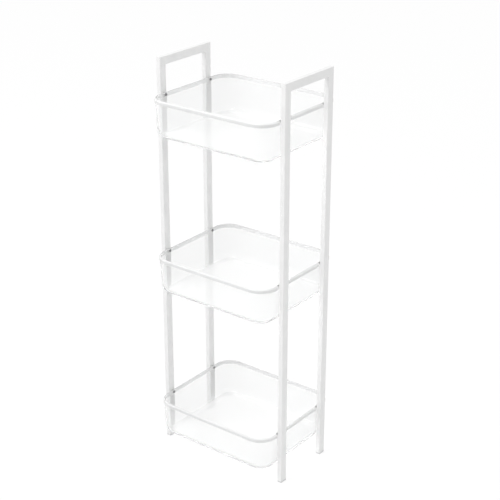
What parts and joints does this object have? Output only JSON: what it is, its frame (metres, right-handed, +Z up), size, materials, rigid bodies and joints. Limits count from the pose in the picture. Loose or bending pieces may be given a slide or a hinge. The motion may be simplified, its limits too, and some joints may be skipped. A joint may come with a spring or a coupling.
{
  "type": "basket storage rack",
  "caption": "Free-standing tiered storage rack: clear moulded baskets screwed between white steel tube side frames whose top bars are carrying handles.",
  "frame": {"origin": "on the floor under the middle of the rack", "axes": "+X across the rack from the left frame to the right one, +Y from front to rear, +Z up"},
  "size_m": [0.2936, 0.228, 0.8],
  "materials": {
    "frame_paint": "satin white powder coat",
    "clear_plastic": "clear, glossy",
    "screw_steel": "dark oxidised steel",
    "nut_steel": "zinc plated steel",
    "foot_plastic": "matte grey moulding"
  },
  "bodies": {
    "root": {"left_front_foot": "foot_plastic", "left_front_post": "frame_paint", "left_front_rivet_nuts": "nut_steel", "left_handle_bar": "frame_paint", "left_rear_foot": "foot_plastic", "left_rear_post": "frame_paint", "left_rear_rivet_nuts": "nut_steel", "lower_basket": "clear_plastic", "lower_basket_screws": "screw_steel", "lower_basket_washers": "screw_steel", "middle_basket": "clear_plastic", "middle_basket_screws": "screw_steel", "middle_basket_washers": "screw_steel", "right_front_foot": "foot_plastic", "right_front_post": "frame_paint", "right_front_rivet_nuts": "nut_steel", "right_handle_bar": "frame_paint", "right_rear_foot": "foot_plastic", "right_rear_post": "frame_paint", "right_rear_rivet_nuts": "nut_steel", "upper_basket": "clear_plastic", "upper_basket_screws": "screw_steel", "upper_basket_washers": "screw_steel"}
  },
  "joints": []
}
